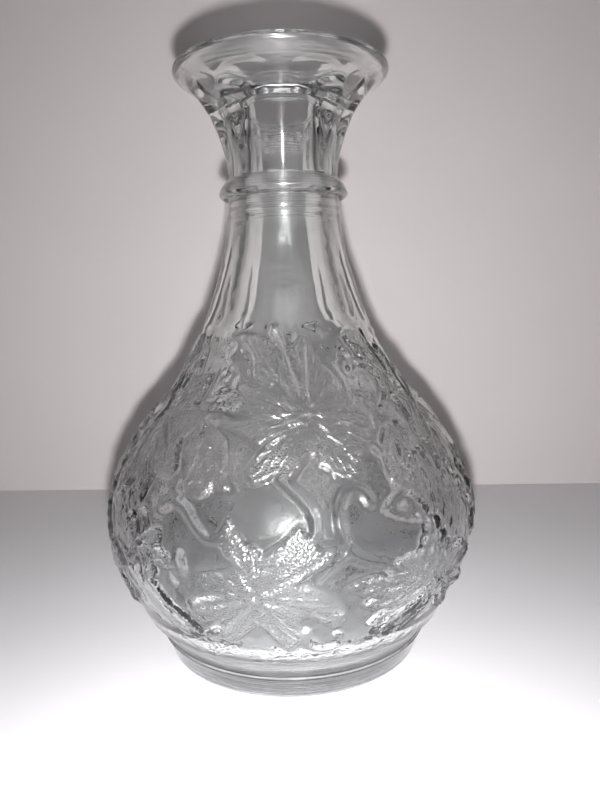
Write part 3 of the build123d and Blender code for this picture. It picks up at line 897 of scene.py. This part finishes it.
def stage_material(name, colour, roughness, mottle, one_sided=False):
    """Matt stage surface with a faint mottle, see-through from behind where it is one sided."""
    material = bpy.data.materials.new(name)
    material.use_nodes = True
    material.node_tree.nodes.clear()
    t = Tree(material.node_tree)
    place = t.add("ShaderNodeTexCoord").outputs["Object"]
    noise = t.add("ShaderNodeTexNoise", {"Vector": place, "Scale": MOTTLE_SCALE, "Detail": 5.0}).outputs[0]
    dark = tuple(c * (1.0 - mottle) for c in colour)
    mix = t.add("ShaderNodeMix", {"Factor": noise, "A": (*dark, 1.0), "B": (*colour, 1.0)}, data_type="RGBA")
    surface = t.add("ShaderNodeBsdfPrincipled", {
        "Base Color": mix.outputs["Result"], "Roughness": roughness}).outputs[0]
    if one_sided:
        back = t.add("ShaderNodeNewGeometry").outputs["Backfacing"]
        clear = t.add("ShaderNodeBsdfTransparent").outputs[0]
        surface = t.add("ShaderNodeMixShader", {0: back, 1: surface, 2: clear}).outputs[0]
    t.add("ShaderNodeOutputMaterial", {"Surface": surface})
    return material


# ---------------------------------------------------------------- operators

class DECANTER_OT_glass_vessel(bpy.types.Operator):
    """Make the one-piece glass vessel"""

    bl_idname = "decanter.glass_vessel"
    bl_label = "Glass Vessel"

    def execute(self, context):
        sizes = context.scene.decanter_sizes
        vessel = bpy.data.objects.new("glass_vessel", blank_mesh(sizes))
        context.scene.collection.objects.link(vessel)
        glass = glass_material(context.scene.glass_look)
        converted(vessel, wall_tree(), {
            "Flute Depth": sizes.flute_depth, "Flute Top": sizes.flute_top, "Arch Drop": sizes.arch_drop,
            "Relief Height": sizes.relief_height, "Grain Height": sizes.grain_height,
            "Grain Size": sizes.grain_size, "Inner Ripple": sizes.ripple, "Panels": sizes.panel_count,
            "Seed": sizes.seed, "Material": glass,
        })
        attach(vessel, "root")
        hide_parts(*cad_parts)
        return {"FINISHED"}


class DECANTER_OT_stage(bpy.types.Operator):
    """Make the floor, backdrop, lamps and camera"""

    bl_idname = "decanter.stage"
    bl_label = "Stage"

    def execute(self, context):
        look = context.scene.stage_look
        make_floor_and_wall(look)
        make_lamps(look)
        make_camera(look)
        return {"FINISHED"}


WALL_DEPTH = 0.212          # metres from the vessel's axis back to the backdrop
WALL_SLOPE = -0.052         # metres that the backdrop goes back for each metre to the right
STAGE_HALF_WIDTH = 2.0
STAGE_FRONT = -2.5
WALL_HEIGHT = 1.6


def flat_face(name, corners, material):
    """One flat face as a stage object."""
    mesh = bpy.data.meshes.new(name)
    mesh.from_pydata(corners, [], [tuple(range(len(corners)))])
    mesh.materials.append(material)
    obj = bpy.data.objects.new(name, mesh)
    bpy.context.scene.collection.objects.link(obj)
    return obj


def make_floor_and_wall(look):
    """Pale floor and one-sided backdrop."""
    w, h = STAGE_HALF_WIDTH, WALL_HEIGHT
    left, right = WALL_DEPTH - WALL_SLOPE * w, WALL_DEPTH + WALL_SLOPE * w
    floor = stage_material("pale_floor", look.floor_colour, roughness=0.35, mottle=0.02)
    wall = stage_material("backdrop", look.wall_colour, roughness=0.9, mottle=0.06, one_sided=True)
    flat_face("floor", [(-w, STAGE_FRONT, 0), (w, STAGE_FRONT, 0), (w, right, 0), (-w, left, 0)], floor)
    flat_face("backdrop", [(-w, left, 0), (w, right, 0), (w, right, h), (-w, left, h)], wall)


def area_lamp(name, place, target, size, power):
    """Square area lamp that points at a target."""
    data = bpy.data.lights.new(name, "AREA")
    data.size = size
    data.energy = power
    lamp = bpy.data.objects.new(name, data)
    lamp.location = place
    lamp.rotation_euler = (Vector(target) - Vector(place)).to_track_quat("-Z", "Y").to_euler()
    bpy.context.scene.collection.objects.link(lamp)


FRONT_LAMP_SIZE = 0.007     # metres across
FRONT_LAMP_BACK = 0.005     # metres behind the camera
FRONT_LAMP_DROP = 0.020     # metres below it
ROOM_PATCH_SCALE = 3.2
ROOM_PATCH_LEVELS = (0.42, 0.60)    # noise levels where a patch of the room is dark and bright
ROOM_DARK = 0.12            # strengths of the room
ROOM_BRIGHT = 2.0
ROOM_PLAIN = 1.6            # as the camera sees it past the backdrop


def make_lamps(look):
    """Small front lamp by the camera, two large soft lamps, and a room whose patches only glass sees."""
    middle = (0.0, 0.0, 0.11)
    front = (0.0, -look.camera_distance - FRONT_LAMP_BACK, look.camera_height - FRONT_LAMP_DROP)
    area_lamp("front_lamp", front, middle, FRONT_LAMP_SIZE, look.front_lamp)
    area_lamp("soft_lamp_left", (-0.55, -0.45, 0.75), middle, 0.5, look.soft_lamp)
    area_lamp("soft_lamp_right", (0.6, -0.35, 0.6), middle, 0.4, look.soft_lamp * 0.6)
    world = bpy.data.worlds.new("room")
    world.use_nodes = True
    world.node_tree.nodes.clear()
    t = Tree(world.node_tree)
    direction = t.add("ShaderNodeTexCoord").outputs["Generated"]
    patches = t.add("ShaderNodeTexNoise", {
        "Vector": direction, "Scale": ROOM_PATCH_SCALE, "Detail": 1.0}).outputs[0]
    low, high = ROOM_PATCH_LEVELS
    patches = t.add("ShaderNodeMapRange", {
        "Value": patches, "From Min": low, "From Max": high, "To Min": ROOM_DARK,
        "To Max": ROOM_BRIGHT}).outputs[0]
    seen = t.add("ShaderNodeLightPath").outputs["Is Camera Ray"]
    strength = t.add("ShaderNodeMix", {"Factor": seen, "A": patches, "B": ROOM_PLAIN}).outputs[0]
    room = t.add("ShaderNodeBackground", {"Color": (*look.world_colour, 1.0), "Strength": strength})
    t.add("ShaderNodeOutputWorld", {"Surface": room.outputs[0]})
    bpy.context.scene.world = world
    world.cycles_visibility.diffuse = False
    bpy.context.scene.view_settings.view_transform = "Standard"


CAMERA_PITCH = math.radians(8.65)
CAMERA_ROLL = math.radians(-1.3)
CAMERA_YAW = math.radians(0.98)
SENSOR_HEIGHT = 36.0
FOCAL_SHARE = 0.829         # focal length as a share of the frame's height


def make_camera(look):
    """Camera in front of the vessel, tipped a little down."""
    data = bpy.data.cameras.new("camera")
    data.sensor_fit = "VERTICAL"
    data.sensor_height = SENSOR_HEIGHT
    data.lens = SENSOR_HEIGHT * FOCAL_SHARE
    data.clip_start = 0.01
    camera = bpy.data.objects.new("camera", data)
    forward = Vector((math.sin(CAMERA_YAW) * math.cos(CAMERA_PITCH),
                      math.cos(CAMERA_YAW) * math.cos(CAMERA_PITCH), -math.sin(CAMERA_PITCH)))
    right = Vector((math.cos(CAMERA_YAW), -math.sin(CAMERA_YAW), 0.0))
    up = right.cross(forward)
    turned_right = right * math.cos(CAMERA_ROLL) + up * math.sin(CAMERA_ROLL)
    turned_up = up * math.cos(CAMERA_ROLL) - right * math.sin(CAMERA_ROLL)
    axes = Matrix((turned_right, turned_up, -forward)).transposed()
    stand = Matrix.Translation((0.0, -look.camera_distance, look.camera_height))
    camera.matrix_world = stand @ axes.to_4x4()
    bpy.context.scene.collection.objects.link(camera)
    bpy.context.scene.camera = camera


class DECANTER_PT_panel(bpy.types.Panel):
    """Lists the pieces"""

    bl_label = "Decanter"
    bl_idname = "DECANTER_PT_panel"
    bl_space_type = "VIEW_3D"
    bl_region_type = "UI"
    bl_category = "Decanter"

    def draw(self, context):
        column = self.layout.column()
        for operator in OPERATORS:
            column.operator(operator.bl_idname)
        for name in SETTINGS:
            group = getattr(context.scene, name)
            for key in group.bl_rna.properties.keys():
                if key not in ("rna_type", "name"):
                    column.prop(group, key)


OPERATORS = (DECANTER_OT_glass_vessel, DECANTER_OT_stage)
SETTINGS = {"decanter_sizes": DecanterSizes, "glass_look": GlassLook, "stage_look": StageLook}


def register():
    for group in SETTINGS.values():
        bpy.utils.register_class(group)
    for operator in OPERATORS:
        bpy.utils.register_class(operator)
    bpy.utils.register_class(DECANTER_PT_panel)
    for name, group in SETTINGS.items():
        setattr(bpy.types.Scene, name, bpy.props.PointerProperty(type=group))


def unregister():
    for name in SETTINGS:
        delattr(bpy.types.Scene, name)
    bpy.utils.unregister_class(DECANTER_PT_panel)
    for operator in reversed(OPERATORS):
        bpy.utils.unregister_class(operator)
    for group in reversed(list(SETTINGS.values())):
        bpy.utils.unregister_class(group)


def main():
    register()
    bpy.ops.decanter.glass_vessel()
    bpy.ops.decanter.stage()


if __name__ == "__main__":
    main()
